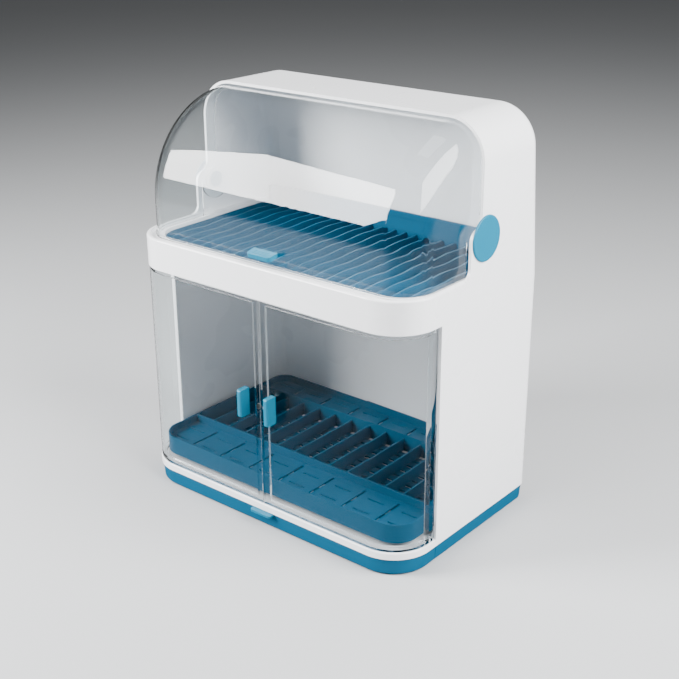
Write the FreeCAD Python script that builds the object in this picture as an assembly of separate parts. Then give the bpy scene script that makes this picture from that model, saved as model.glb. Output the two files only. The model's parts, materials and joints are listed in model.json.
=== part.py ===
import FreeCAD, Part
import math
import os
from FreeCAD import Vector

# Covered dish drying rack for a worktop: a two-storey plastic cabinet.
# The lower storey is closed by two clear doors and stands on a blue base that holds a drip drawer.
# The upper storey is a hood with a clear lid that turns back inside it about two side pivots.
# A lift-out rack stands in each storey.
# Millimetres. X is the width, +Y goes to the back, +Z is up. The origin is the centre of the
# overall box at floor level.

# Overall body
BODY_WIDTH = 376.0
BODY_DEPTH = 238.0
FRONT_REACH = 12.0        # how far the door handles stand in front of the body
FRONT_CORNER_R = 46.0
REAR_CORNER_R = 15.0

# Heights of the storeys, from the floor up
FOOT_PROUD = 1.0
BASE_HEIGHT = 19.0
SILL_HEIGHT = 8.0
DOORWAY_HEIGHT = 235.5
RAIL_HEIGHT = 6.5
BAND_HEIGHT = 28.0
HOOD_RISE = 152.0

# Wall thicknesses
HOUSING_WALL = 3.0
BAND_WALL = 4.0
BASE_WALL = 5.0
FLOOR_THICKNESS = 2.5
DECK_THICKNESS = 2.5

# Blue base and its drip drawer
BASE_INSET = 1.5          # the base stands back from the white body by this much
BASE_DRAFT = 1.5          # how far its walls lean in at the bottom
BASE_BOTTOM_ROUND = 2.5
SEAM_BACKSET = 9.0        # drawer seam behind the door hinge
DRAWER_GAP = 0.6
PAN_SIDE_GAP = 1.5
PAN_WALL = 2.0
PAN_RIM_DROP = 2.5        # thickness of the rim that joins the pan to the drawer front
PAN_REAR_DROP = 1.5       # the pan's rear walls stand this much below its rim
RUNNER_HEIGHT = 0.8
RUNNER_WIDTH = 6.0
RUNNER_SETBACK = 58.0     # from the body's side to the middle of a runner
SLIDE_GAP = 0.2
PULL_WIDTH = 29.0
PULL_REACH = 7.5
PULL_THICKNESS = 3.2
PULL_CORNER_R = 3.5
PULL_EDGE_ROUND = 1.0
FOOT_R = 9.0
FOOT_RECESS = 1.0
FOOT_SIDE_SETBACK = 38.0
FOOT_FRONT_SETBACK = 38.0
FOOT_REAR_SETBACK = 30.0

# Sill, deck and the drain slots in the deck
SILL_ROUND = 1.5
DRAIN_COLUMNS = 5
DRAIN_ROWS = 7
DRAIN_LENGTH = 56.0
DRAIN_WIDTH = 13.5
DRAIN_SIDE_MARGIN = 38.0  # of plain deck outside the drained field
DRAIN_FRONT_MARGIN = 55.5
DRAIN_REAR_MARGIN = 49.5

# Doors
HINGE_SETBACK = 52.0      # door hinge behind the body's front
DOOR_INSET = 1.0
DOOR_GAP = 0.5            # above and below each door
DOOR_SEAM_GAP = 0.6
DOOR_PANEL = 2.2
DOOR_RIM_DEPTH = 5.5
DOOR_RIM_HEIGHT = 5.0
DOOR_STRIP_WIDTH = 8.5
BEAD_R = 4.8
BEAD_WALL_GAP = 1.2
DOOR_PIN_R = 1.5
DOOR_PIN_REACH = 5.5      # into the door
DOOR_PIN_ROOT = 5.0       # into the housing
PIN_RUNNING_GAP = 0.06
PIN_SEAT_GAP = 0.02
PIN_BOSS_R = 4.0
STOP_LIP_SETBACK = 68.0   # from the body's side to the end of the stop lip
STOP_LIP_DEPTH = 2.0
STOP_LIP_DROP = 4.0
STOP_LIP_GAP = 0.7
HANDLE_WIDTH = 6.5
HANDLE_HEIGHT = 31.0
HANDLE_OFFSET = 18.7      # from the seam to the handle's centre
HANDLE_CENTRE_RISE = 118.0
HANDLE_CHAMFER = 1.4
HANDLE_TONGUE = 1.2       # how deep each grip is let into its carrier
MAGNET_R = 3.0
MAGNET_DEPTH = 2.5
MAGNET_RISE = 114.0

# Hood
BACK_LEAN = 18.0
ARCH_R = 42.0
BAND_TOP_ROUND = 2.0
EAR_REACH = 17.5
EAR_FOOT_R = 9.0
EAR_SHOULDER_RISE = 35.0  # where the ear starts to curve back, above the band
EAR_SHOULDER_HEIGHT = 24.0
LEDGE_DROP = 3.8
LEDGE_THICKNESS = 2.5
UPPER_FLOOR_DROP = 2.5
LOCATE_GAP = 0.3
UPPER_DRAIN_R = 6.0
UPPER_DRAIN_SETBACK = 24.0

# Lid and its pivots
LID_FRONT_SETBACK = 16.0  # the lid's front behind the body's front
PIVOT_RISE = 35.5         # above the band
PIVOT_SETBACK = 7.0       # behind the hood's front edge
PIVOT_PIN_R = 7.95
PIVOT_RUNNING_GAP = 0.05
PIVOT_HEAD_R = 9.2
PIVOT_HEAD = 0.6
PIVOT_HEAD_GAP = 0.1
PIVOT_BOSS_R = 13.0
PIVOT_BOSS_GAP = 0.4
CAP_R = 23.5
CAP_PROUD = 2.0
CAP_BEVEL = 0.8
LID_THICKNESS = 2.0
LID_SIDE_GAP = 4.0
LID_HOOD_GAP = 1.2
LID_CORNER_EASE = 5.0     # the lid's corner radius is this much under the hood's inside one
LID_REAR_ANGLE = 92.0
LID_RIM_ANGLE = 2.0
LID_RIM_DEPTH = 1.0
LID_BEAD_PROUD = 1.2
LID_BEAD_HEIGHT = 3.0
LID_SEAT_GAP = 0.3
LUG_R = 22.0
LUG_HUB_R = 6.0
TAB_WIDTH = 32.0
TAB_REACH = 11.5
TAB_THICKNESS = 4.5
TAB_CORNER_R = 4.0
TAB_RISE = 9.0            # of its root above the band
TAB_TILT = 12.0
GRIP_COUNT = 3
GRIP_WIDTH = 0.8
GRIP_PITCH = 2.4
GRIP_DEPTH = 0.4
GRIP_LENGTH_SHARE = 0.6

# Upper rack
WELL_LIP = 2.8            # the well's edge stands inside the lid's inner face
WELL_CORNER_EASE = 8.0    # the well's front corners are this much rounder than the lid's
WELL_WALL = 2.5
RACK_GAP = 1.5
RACK_SEAT_GAP = 0.2
RACK_BACKSET = 16.0
RACK_REAR_R = 10.0
RACK_WALL = 2.0
RACK_RIM_HEIGHT = 20.8
RACK_BACK_HEIGHT = 39.0
RACK_BACK_STEP = 1.0
RACK_BACK_STEP_RISE = 32.0
RACK_FLOOR_RISE = 8.0
RACK_FLOOR = 2.0
RIB_COUNT = 21
RIB_SIDE_GAP = 12.7       # between a side wall and the middle of the last rib
RIB_THICKNESS = 2.6
RIB_RISE = 13.5           # of the middle of the wave above the floor
RIB_WAVE = 0.6
RIB_HALF_WAVES = 7
RIB_END_GAP = 9.0
RIB_END_R = 5.5
RACK_SLOT_WIDTH = 5.0
RACK_SLOT_ROWS = 3
RACK_SLOT_BRIDGE = 10.0   # of floor left between two rows

# Lower rack
LOW_RACK_SIDE_GAP = 1.4   # between its side walls and the hinge beads
LOW_RACK_SETBACK = 13.0   # its front wall behind the body's front
LOW_RACK_REAR_GAP = 4.0
LOW_RACK_FRONT_R = 26.0
LOW_RACK_REAR_R = 16.0
LOW_RACK_WALL = 2.0
LOW_RACK_FOOT = 6.0
LOW_RACK_FOOT_R = 7.0
LOW_RACK_FOOT_INSET = 16.0
LOW_RACK_HEIGHT = 20.8
SHELF_DROP = 9.0
SHELF_THICKNESS = 2.0
FRONT_SHELF_DEPTH = 61.0
REAR_SHELF_DEPTH = 44.0
DIVIDER_COUNT = 13
DIVIDER_SIDE_GAP = 19.8   # between a side wall and the middle of the last divider
DIVIDER_THICKNESS = 2.0
DIVIDER_DROP = 5.0
LONG_SLOT_COUNT = 7
LONG_SLOT_SIDE_GAP = 40.2
LONG_SLOT_WIDTH = 3.0
SHORT_SLOT_LENGTH = 22.0
SHORT_SLOT_WIDTH = 2.6
SLOT_END_GAP = 6.0
GRATE_BAR_COUNT = 8
GRATE_BAR_WIDTH = 9.0
GRATE_THICKNESS = 2.0

# Levels and places worked out from the sizes above
HALF_WIDTH = BODY_WIDTH / 2
BACK_Y = (BODY_DEPTH + FRONT_REACH) / 2
FRONT_Y = BACK_Y - BODY_DEPTH
BASE_Z = FOOT_PROUD
SILL_Z = BASE_Z + BASE_HEIGHT
DECK_Z = SILL_Z + SILL_HEIGHT
RAIL_Z = DECK_Z + DOORWAY_HEIGHT
PARTING_Z = RAIL_Z + RAIL_HEIGHT
BAND_TOP_Z = PARTING_Z + BAND_HEIGHT
TOP_Z = BAND_TOP_Z + HOOD_RISE
HINGE_X = HALF_WIDTH - DOOR_INSET - BEAD_R
HINGE_Y = FRONT_Y + HINGE_SETBACK
WALL_FRONT_Y = HINGE_Y + BEAD_R + BEAD_WALL_GAP
SEAM_Y = HINGE_Y + SEAM_BACKSET
DOOR_Y = FRONT_Y + DOOR_INSET
PIVOT_Z = BAND_TOP_Z + PIVOT_RISE
LID_R = TOP_Z - HOUSING_WALL - LID_HOOD_GAP - PIVOT_Z
LID_FRONT_Y = FRONT_Y + LID_FRONT_SETBACK
PIVOT_Y = LID_FRONT_Y + LID_R
HOOD_Y = PIVOT_Y - PIVOT_SETBACK
EAR_Y = HOOD_Y - EAR_REACH
LEDGE_Z = BAND_TOP_Z - LEDGE_DROP
UPPER_FLOOR_Z = PARTING_Z - UPPER_FLOOR_DROP + FLOOR_THICKNESS
LID_HALF_WIDTH = HALF_WIDTH - HOUSING_WALL - LID_SIDE_GAP
LID_CORNER_R = ARCH_R - HOUSING_WALL - LID_CORNER_EASE
LID_BOTTOM_Z = LEDGE_Z + LID_SEAT_GAP
WELL_HALF_WIDTH = LID_HALF_WIDTH - LID_THICKNESS - WELL_LIP
WELL_FRONT_Y = LID_FRONT_Y + LID_THICKNESS + WELL_LIP
WELL_FRONT_R = LID_CORNER_R - LID_THICKNESS - WELL_LIP + WELL_CORNER_EASE
WELL_BACK_Y = BACK_Y - RACK_BACKSET + RACK_GAP
WELL_REAR_R = RACK_REAR_R + RACK_GAP
RACK_Z = UPPER_FLOOR_Z + RACK_SEAT_GAP
RACK_FLOOR_Z = RACK_Z + RACK_FLOOR_RISE
LOW_FRONT_Y = FRONT_Y + LOW_RACK_SETBACK
LOW_BACK_Y = BACK_Y - HOUSING_WALL - LOW_RACK_REAR_GAP
LOW_HALF_WIDTH = HINGE_X - BEAD_R - LOW_RACK_SIDE_GAP
LOW_INNER_HALF = LOW_HALF_WIDTH - LOW_RACK_WALL
LOW_Z = DECK_Z + RACK_SEAT_GAP + LOW_RACK_FOOT
LOW_RIM_Z = LOW_Z + LOW_RACK_HEIGHT
SHELF_Z = LOW_RIM_Z - SHELF_DROP

# Pitches of the rows of copies, worked out from the room that each row has
FOOT_SPREAD_X = BODY_WIDTH - 2 * FOOT_SIDE_SETBACK
RUNNER_SPREAD = BODY_WIDTH - 2 * RUNNER_SETBACK
STOP_LIP_WIDTH = BODY_WIDTH - 2 * STOP_LIP_SETBACK
DRAIN_PITCH_X = (BODY_WIDTH - 2 * DRAIN_SIDE_MARGIN - DRAIN_LENGTH) / (DRAIN_COLUMNS - 1)
DRAIN_FIELD_DEPTH = BODY_DEPTH - DRAIN_FRONT_MARGIN - DRAIN_REAR_MARGIN
DRAIN_PITCH_Y = (DRAIN_FIELD_DEPTH - DRAIN_WIDTH) / (DRAIN_ROWS - 1)
DRAIN_CENTRE_Y = FRONT_Y + DRAIN_FRONT_MARGIN + DRAIN_FIELD_DEPTH / 2
RIB_PITCH = 2 * (WELL_HALF_WIDTH - RACK_GAP - RACK_WALL - RIB_SIDE_GAP) / (RIB_COUNT - 1)
DIVIDER_PITCH = 2 * (LOW_INNER_HALF - DIVIDER_SIDE_GAP) / (DIVIDER_COUNT - 1)
LONG_SLOT_PITCH = 2 * (LOW_INNER_HALF - LONG_SLOT_SIDE_GAP) / (LONG_SLOT_COUNT - 1)

# Half the size of a block that is larger than the whole object
SPACE = 1000.0
# Least radius that an inside corner keeps when an outline is drawn in
LEAST_R = 1.0
# How far a cutting tool runs out past the face that it opens
RUN_OUT = 1.0
# An edge this close to a plane lies in it
NEAR = 0.01
# The middle of a quarter turn
EIGHTH_TURN = math.radians(45)


def box(x0, x1, y0, y1, z0, z1):
    return Part.makeBox(x1 - x0, y1 - y0, z1 - z0, Vector(x0, y0, z0))


def centred_box(x, width, y, depth, z0, z1):
    return box(x - width / 2, x + width / 2, y - depth / 2, y + depth / 2, z0, z1)


def ahead_of(y):
    return box(-SPACE, SPACE, -SPACE, y, -SPACE, SPACE)


def behind(y):
    return box(-SPACE, SPACE, y, SPACE, -SPACE, SPACE)


def mirrored(shape):
    return shape.mirror(Vector(0, 0, 0), Vector(1, 0, 0))


def both_sides(shape):
    return [shape, mirrored(shape)]


def fused(shapes):
    whole = shapes[0]
    for other in shapes[1:]:
        whole = whole.fuse(other)
    return whole.removeSplitter()


def cut_all(shape, tools):
    return shape.cut(Part.makeCompound(tools))


def spread(count, pitch):
    """Places of a row of copies, centred on zero."""
    return [(i - (count - 1) / 2) * pitch for i in range(count)]


def arc(centre_x, centre_y, radius, start, end, z):
    """Arc in plan between two angles in degrees."""
    points = []
    for angle in (start, (start + end) / 2, end):
        turn = math.radians(angle)
        points.append(Vector(centre_x + radius * math.cos(turn), centre_y + radius * math.sin(turn), z))
    return Part.Arc(*points).toShape()


def line(start, end):
    return Part.LineSegment(start, end).toShape()


def plan_wire(half_width, front_y, back_y, front_r, rear_r, z):
    """Rounded rectangle in plan, with its own radius for the front and the rear corners."""
    right = half_width
    left = -half_width
    edges = [
        line(Vector(left + front_r, front_y, z), Vector(right - front_r, front_y, z)),
        arc(right - front_r, front_y + front_r, front_r, -90, 0, z),
        line(Vector(right, front_y + front_r, z), Vector(right, back_y - rear_r, z)),
        arc(right - rear_r, back_y - rear_r, rear_r, 0, 90, z),
        line(Vector(right - rear_r, back_y, z), Vector(left + rear_r, back_y, z)),
        arc(left + rear_r, back_y - rear_r, rear_r, 90, 180, z),
        line(Vector(left, back_y - rear_r, z), Vector(left, front_y + front_r, z)),
        arc(left + front_r, front_y + front_r, front_r, 180, 270, z),
    ]
    return Part.Wire(edges)


def plan_block(half_width, front_y, back_y, front_r, rear_r, z0, z1):
    face = Part.Face(plan_wire(half_width, front_y, back_y, front_r, rear_r, z0))
    return face.extrude(Vector(0, 0, z1 - z0))


def body_wire(inset, z):
    rear_r = max(REAR_CORNER_R - inset, LEAST_R)
    return plan_wire(HALF_WIDTH - inset, FRONT_Y + inset, BACK_Y - inset, FRONT_CORNER_R - inset, rear_r, z)


def body_block(inset, z0, z1):
    """The body's outline, drawn in by an inset, as a solid between two levels."""
    return Part.Face(body_wire(inset, z0)).extrude(Vector(0, 0, z1 - z0))


def body_ring(outer_inset, inner_inset, z0, z1):
    return body_block(outer_inset, z0, z1).cut(body_block(inner_inset, z0, z1))


def well_block(outset, z0, z1):
    """The outline of the upper rack's well, grown by an outset."""
    return plan_block(WELL_HALF_WIDTH + outset, WELL_FRONT_Y - outset, WELL_BACK_Y + outset,
                      WELL_FRONT_R + outset, WELL_REAR_R + outset, z0, z1)


def level_edges(shape, z):
    """The edges of a shape that lie in the plane at one level."""
    found = []
    for edge in shape.Edges:
        if abs(edge.BoundBox.ZMin - z) < NEAR and abs(edge.BoundBox.ZMax - z) < NEAR:
            found.append(edge)
    return found


def side_cylinder(x0, x1, radius):
    """Cylinder about the lid's pivot axis between two places across the width."""
    return Part.makeCylinder(radius, x1 - x0, Vector(x0, PIVOT_Y, PIVOT_Z), Vector(1, 0, 0))


def base_block():
    """Outside of the blue base and drawer front: leaning walls and a rounded bottom edge."""
    bottom = body_wire(BASE_INSET + BASE_DRAFT, BASE_Z)
    top = body_wire(BASE_INSET, SILL_Z)
    block = Part.makeLoft([bottom, top], True, True)
    return block.makeFillet(BASE_BOTTOM_ROUND, level_edges(block, BASE_Z))


def foot_places():
    places = []
    for x in spread(2, FOOT_SPREAD_X):
        for y in (FRONT_Y + FOOT_FRONT_SETBACK, BACK_Y - FOOT_REAR_SETBACK):
            places.append(Vector(x, y, 0))
    return places


def feet():
    """Four rubber pads let into the underside of the base."""
    pads = [Part.makeCylinder(FOOT_R, FOOT_PROUD + FOOT_RECESS, place) for place in foot_places()]
    return Part.makeCompound(pads)


def rear_base():
    """Fixed blue base: rear and side walls, and the floor that the drawer runs over."""
    inner = BASE_INSET + BASE_WALL
    floor_z = BASE_Z + FLOOR_THICKNESS
    walls = base_block().cut(body_block(inner, BASE_Z, SILL_Z)).common(behind(SEAM_Y))
    floor = body_block(inner + DRAWER_GAP, BASE_Z, floor_z)
    rear_floor = body_block(BASE_INSET + BASE_DRAFT + BASE_BOTTOM_ROUND, BASE_Z, floor_z)
    rear_floor = rear_floor.common(behind(SEAM_Y))
    runner_front = FRONT_Y + BASE_INSET + BASE_WALL + BASE_INSET + DRAWER_GAP
    runner_back = BACK_Y - inner - DRAWER_GAP
    runners = []
    for x in spread(2, RUNNER_SPREAD):
        runners.append(box(x - RUNNER_WIDTH / 2, x + RUNNER_WIDTH / 2, runner_front, runner_back,
                           floor_z, floor_z + RUNNER_HEIGHT))
    base = fused([walls, rear_floor, floor] + runners)
    pockets = [Part.makeCylinder(FOOT_R, FOOT_PROUD + FOOT_RECESS, place) for place in foot_places()]
    return cut_all(base, pockets)


def drawer_pull():
    """Light blue finger tab at the top of the drawer front."""
    top_z = SILL_Z - DRAWER_GAP
    front_y = FRONT_Y + BASE_INSET - PULL_REACH
    back_y = FRONT_Y + BASE_INSET + HANDLE_TONGUE
    tab = plan_block(PULL_WIDTH / 2, front_y, back_y, PULL_CORNER_R, LEAST_R, top_z - PULL_THICKNESS, top_z)
    lower_edges = level_edges(tab, top_z - PULL_THICKNESS)
    lower_front = [e for e in lower_edges if e.CenterOfMass.y < front_y + LEAST_R]
    tab = tab.makeFillet(PULL_EDGE_ROUND, lower_front)
    return cut_all(tab, grip_grooves(0, front_y + PULL_REACH / 2, top_z, PULL_WIDTH))


def grip_grooves(x, y, z, width):
    """Plain grip lines across the top of a tab, as cutting tools."""
    tools = []
    length = width * GRIP_LENGTH_SHARE
    for offset in spread(GRIP_COUNT, GRIP_PITCH):
        tools.append(centred_box(x, length, y + offset, GRIP_WIDTH, z - GRIP_DEPTH, z + RUN_OUT))
    return tools


def drip_drawer():
    """Blue drip drawer: a front that wraps both front corners, and the pan behind it."""
    top_z = SILL_Z - DRAWER_GAP
    pan_inset = BASE_INSET + BASE_WALL + PAN_SIDE_GAP
    pan_z = BASE_Z + FLOOR_THICKNESS + RUNNER_HEIGHT + SLIDE_GAP
    front_zone = ahead_of(SEAM_Y - DRAWER_GAP)
    front = base_block().cut(body_block(BASE_INSET + BASE_WALL, BASE_Z, SILL_Z)).common(front_zone)
    front = front.cut(box(-SPACE, SPACE, -SPACE, SPACE, top_z, SPACE))
    rim = body_ring(BASE_INSET + BASE_WALL / 2, pan_inset + PAN_WALL, top_z - PAN_RIM_DROP, top_z)
    rim = rim.common(front_zone)
    pan = body_block(pan_inset, pan_z, top_z - PAN_REAR_DROP)
    hollow = body_block(pan_inset + PAN_WALL, pan_z + PAN_WALL, SILL_Z)
    drawer = fused([front, rim, pan]).cut(hollow)
    return drawer.cut(drawer_pull())


def hinge_places():
    return [Vector(HINGE_X, HINGE_Y, 0), Vector(-HINGE_X, HINGE_Y, 0)]


def drain_slots(z0, z1):
    tools = []
    for x in spread(DRAIN_COLUMNS, DRAIN_PITCH_X):
        for y in spread(DRAIN_ROWS, DRAIN_PITCH_Y):
            tools.append(centred_box(x, DRAIN_LENGTH, DRAIN_CENTRE_Y + y, DRAIN_WIDTH, z0, z1))
    return tools


def lower_housing():
    """White lower cabinet: sill with a drained deck, side and back walls, and the top rail."""
    sill = body_block(0, SILL_Z, DECK_Z)
    sill = sill.makeFillet(SILL_ROUND, level_edges(sill, DECK_Z))
    sill = sill.cut(body_block(HOUSING_WALL, SILL_Z, DECK_Z - DECK_THICKNESS))
    walls = body_ring(0, HOUSING_WALL, SILL_Z, PARTING_Z).common(behind(WALL_FRONT_Y))
    rail = body_block(0, RAIL_Z, PARTING_Z).cut(well_block(WELL_WALL + LOCATE_GAP, RAIL_Z, PARTING_Z))
    lip_y = DOOR_Y + DOOR_RIM_DEPTH + STOP_LIP_GAP
    stop_lip = box(-STOP_LIP_WIDTH / 2, STOP_LIP_WIDTH / 2, lip_y, lip_y + STOP_LIP_DEPTH,
                   RAIL_Z - STOP_LIP_DROP, PARTING_Z)
    bosses = []
    holes = []
    for place in hinge_places():
        boss_z = DECK_Z - DOOR_PIN_ROOT - DECK_THICKNESS
        bosses.append(Part.makeCylinder(PIN_BOSS_R, DECK_Z - boss_z, place + Vector(0, 0, boss_z)))
        hole_r = DOOR_PIN_R + PIN_SEAT_GAP
        holes.append(Part.makeCylinder(hole_r, DOOR_PIN_ROOT, place + Vector(0, 0, DECK_Z - DOOR_PIN_ROOT)))
        holes.append(Part.makeCylinder(hole_r, DOOR_PIN_ROOT, place + Vector(0, 0, RAIL_Z)))
    housing = fused([sill, walls, rail, stop_lip] + bosses)
    return cut_all(housing, holes + drain_slots(SILL_Z, DECK_Z + RUN_OUT))


def door_pins():
    """Steel pins of one right-hand door, lower and upper, as two separate solids."""
    length = DOOR_PIN_ROOT + DOOR_GAP + DOOR_PIN_REACH
    lower = Part.makeCylinder(DOOR_PIN_R, length, Vector(HINGE_X, HINGE_Y, DECK_Z - DOOR_PIN_ROOT))
    upper_z = RAIL_Z - DOOR_GAP - DOOR_PIN_REACH
    upper = Part.makeCylinder(DOOR_PIN_R, length, Vector(HINGE_X, HINGE_Y, upper_z))
    return lower, upper


def door_handle():
    """Vertical light blue grip of the right-hand door."""
    centre_z = DECK_Z + HANDLE_CENTRE_RISE
    front_y = FRONT_Y - FRONT_REACH
    bar = box(HANDLE_OFFSET - HANDLE_WIDTH / 2, HANDLE_OFFSET + HANDLE_WIDTH / 2, front_y,
              DOOR_Y + HANDLE_TONGUE, centre_z - HANDLE_HEIGHT / 2, centre_z + HANDLE_HEIGHT / 2)
    front_edges = [e for e in bar.Edges if abs(e.BoundBox.YMax - front_y) < LEAST_R]
    return bar.makeChamfer(HANDLE_CHAMFER, front_edges)


def door_magnet():
    """Round magnet let into the inner face of the right-hand door's seam strip."""
    x = DOOR_SEAM_GAP / 2 + DOOR_STRIP_WIDTH / 2
    y = DOOR_Y + DOOR_RIM_DEPTH - MAGNET_DEPTH
    return Part.makeCylinder(MAGNET_R, MAGNET_DEPTH, Vector(x, y, DECK_Z + MAGNET_RISE), Vector(0, 1, 0))


def door():
    """Clear right-hand door: flat front, round corner, rims, seam strip and hinge bead."""
    z0 = DECK_Z + DOOR_GAP
    z1 = RAIL_Z - DOOR_GAP
    seam_x = DOOR_SEAM_GAP / 2
    zone = box(seam_x, SPACE, -SPACE, HINGE_Y, -SPACE, SPACE)
    rim_inset = DOOR_INSET + DOOR_RIM_DEPTH
    panel = body_ring(DOOR_INSET, DOOR_INSET + DOOR_PANEL, z0, z1).common(zone)
    lower_rim = body_ring(DOOR_INSET, rim_inset, z0, z0 + DOOR_RIM_HEIGHT).common(zone)
    upper_rim = body_ring(DOOR_INSET, rim_inset, z1 - DOOR_RIM_HEIGHT, z1).common(zone)
    strip = box(seam_x, seam_x + DOOR_STRIP_WIDTH, DOOR_Y, DOOR_Y + DOOR_RIM_DEPTH, z0, z1)
    bead = Part.makeCylinder(BEAD_R, z1 - z0, Vector(HINGE_X, HINGE_Y, z0))
    whole = fused([panel, lower_rim, upper_rim, strip, bead])
    hole_r = DOOR_PIN_R + PIN_RUNNING_GAP
    depth = DOOR_PIN_REACH + DOOR_GAP
    holes = [
        Part.makeCylinder(hole_r, depth, Vector(HINGE_X, HINGE_Y, z0)),
        Part.makeCylinder(hole_r, depth, Vector(HINGE_X, HINGE_Y, z1 - depth)),
    ]
    return cut_all(whole, holes).cut(door_handle()).cut(door_magnet())


def lean_profile(front_y, wall, z0):
    """Side view of the hood with its leaning back, drawn in by a wall, extruded over the width."""
    slope = BACK_LEAN / (TOP_Z - PARTING_Z)
    foot_y = BACK_Y - wall - slope * (z0 - PARTING_Z)
    top_y = BACK_Y - wall - BACK_LEAN
    corners = [
        Vector(-SPACE, front_y, z0),
        Vector(-SPACE, foot_y, z0),
        Vector(-SPACE, top_y, TOP_Z),
        Vector(-SPACE, front_y, TOP_Z),
        Vector(-SPACE, front_y, z0),
    ]
    return Part.Face(Part.makePolygon(corners)).extrude(Vector(2 * SPACE, 0, 0))


def arch_block(inset):
    """Front view of the hood, an arch with round shoulders, extruded from front to back."""
    half = HALF_WIDTH - inset
    top = TOP_Z - inset
    radius = ARCH_R - inset
    shoulder = top - radius
    side = radius * (1 - math.cos(EIGHTH_TURN))
    edges = [
        line(Vector(-half, -SPACE, PARTING_Z), Vector(half, -SPACE, PARTING_Z)),
        line(Vector(half, -SPACE, PARTING_Z), Vector(half, -SPACE, shoulder)),
        Part.Arc(Vector(half, -SPACE, shoulder), Vector(half - side, -SPACE, top - side),
                 Vector(half - radius, -SPACE, top)).toShape(),
        line(Vector(half - radius, -SPACE, top), Vector(radius - half, -SPACE, top)),
        Part.Arc(Vector(radius - half, -SPACE, top), Vector(side - half, -SPACE, top - side),
                 Vector(-half, -SPACE, shoulder)).toShape(),
        line(Vector(-half, -SPACE, shoulder), Vector(-half, -SPACE, PARTING_Z)),
    ]
    return Part.Face(Part.Wire(edges)).extrude(Vector(0, 2 * SPACE, 0))


def rear_edges(shape, wall):
    """The edges of the hood's leaning back face, apart from the one at its foot."""
    slope = BACK_LEAN / (TOP_Z - PARTING_Z)
    found = []
    for edge in shape.Edges:
        on_back = True
        for vertex in edge.Vertexes:
            back = BACK_Y - wall - slope * (vertex.Z - PARTING_Z)
            on_back = on_back and abs(vertex.Y - back) < NEAR
        if on_back and edge.BoundBox.ZMax > PARTING_Z + NEAR:
            found.append(edge)
    return found


def hood_shell():
    outer = arch_block(0).common(lean_profile(HOOD_Y, 0, PARTING_Z))
    outer = outer.makeFillet(REAR_CORNER_R, rear_edges(outer, 0))
    inner = arch_block(HOUSING_WALL).common(lean_profile(-SPACE, HOUSING_WALL, PARTING_Z))
    inner = inner.makeFillet(REAR_CORNER_R - HOUSING_WALL, rear_edges(inner, HOUSING_WALL))
    return outer.cut(inner)


def ear():
    """Right-hand plate that carries the pivot in front of the hood's edge."""
    foot_z = BAND_TOP_Z - BAND_TOP_ROUND
    shoulder_z = BAND_TOP_Z + EAR_SHOULDER_RISE
    end_z = shoulder_z + EAR_SHOULDER_HEIGHT
    radius = (EAR_REACH ** 2 + EAR_SHOULDER_HEIGHT ** 2) / (4 * EAR_REACH)
    half_turn = math.atan2(EAR_SHOULDER_HEIGHT / 2, radius - EAR_REACH / 2) / 2
    run = radius * (1 - math.cos(half_turn))
    rise = radius * math.sin(half_turn)
    foot_run = EAR_FOOT_R * (1 - math.cos(EIGHTH_TURN))
    x = HALF_WIDTH - HOUSING_WALL
    inside_y = HOOD_Y + HOUSING_WALL
    middle = Vector(x, (EAR_Y + HOOD_Y) / 2, (shoulder_z + end_z) / 2)
    foot_start = Vector(x, EAR_Y - EAR_FOOT_R, BAND_TOP_Z)
    foot_end = Vector(x, EAR_Y, BAND_TOP_Z + EAR_FOOT_R)
    edges = [
        line(Vector(x, inside_y, foot_z), Vector(x, EAR_Y - EAR_FOOT_R, foot_z)),
        line(Vector(x, EAR_Y - EAR_FOOT_R, foot_z), foot_start),
        Part.Arc(foot_start, Vector(x, EAR_Y - foot_run, BAND_TOP_Z + foot_run), foot_end).toShape(),
        line(foot_end, Vector(x, EAR_Y, shoulder_z)),
        Part.Arc(Vector(x, EAR_Y, shoulder_z), Vector(x, EAR_Y + run, shoulder_z + rise), middle).toShape(),
        Part.Arc(middle, Vector(x, HOOD_Y - run, end_z - rise), Vector(x, HOOD_Y, end_z)).toShape(),
        line(Vector(x, HOOD_Y, end_z), Vector(x, inside_y, end_z)),
        line(Vector(x, inside_y, end_z), Vector(x, inside_y, foot_z)),
    ]
    return Part.Face(Part.Wire(edges)).extrude(Vector(HOUSING_WALL, 0, 0))


def upper_housing():
    """White upper casing: band, ledge and well for the rack, hood, ears and pivot bosses."""
    band = body_block(0, PARTING_Z, BAND_TOP_Z)
    band = band.makeFillet(BAND_TOP_ROUND, level_edges(band, BAND_TOP_Z))
    band = band.cut(body_block(BAND_WALL, PARTING_Z, BAND_TOP_Z)).common(ahead_of(HOOD_Y + HOUSING_WALL))
    ledge = body_block(HOUSING_WALL / 2, LEDGE_Z - LEDGE_THICKNESS, LEDGE_Z)
    ledge = ledge.common(lean_profile(-SPACE, HOUSING_WALL / 2, PARTING_Z))
    floor_z = UPPER_FLOOR_Z - FLOOR_THICKNESS
    well = well_block(WELL_WALL, floor_z, LEDGE_Z)
    inner_x = HALF_WIDTH - HOUSING_WALL
    boss_x = LID_HALF_WIDTH + PIVOT_BOSS_GAP
    boss = side_cylinder(boss_x, inner_x + HOUSING_WALL / 2, PIVOT_BOSS_R)
    hole = side_cylinder(boss_x - RUN_OUT, HALF_WIDTH + RUN_OUT, PIVOT_PIN_R + PIVOT_RUNNING_GAP)
    solids = [hood_shell(), band, ledge, well] + both_sides(ear()) + both_sides(boss)
    drain_place = Vector(0, WELL_BACK_Y - UPPER_DRAIN_SETBACK, floor_z)
    drain = Part.makeCylinder(UPPER_DRAIN_R, FLOOR_THICKNESS, drain_place)
    tools = both_sides(hole) + [well_block(0, UPPER_FLOOR_Z, LEDGE_Z), drain]
    return cut_all(fused(solids), tools)


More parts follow.
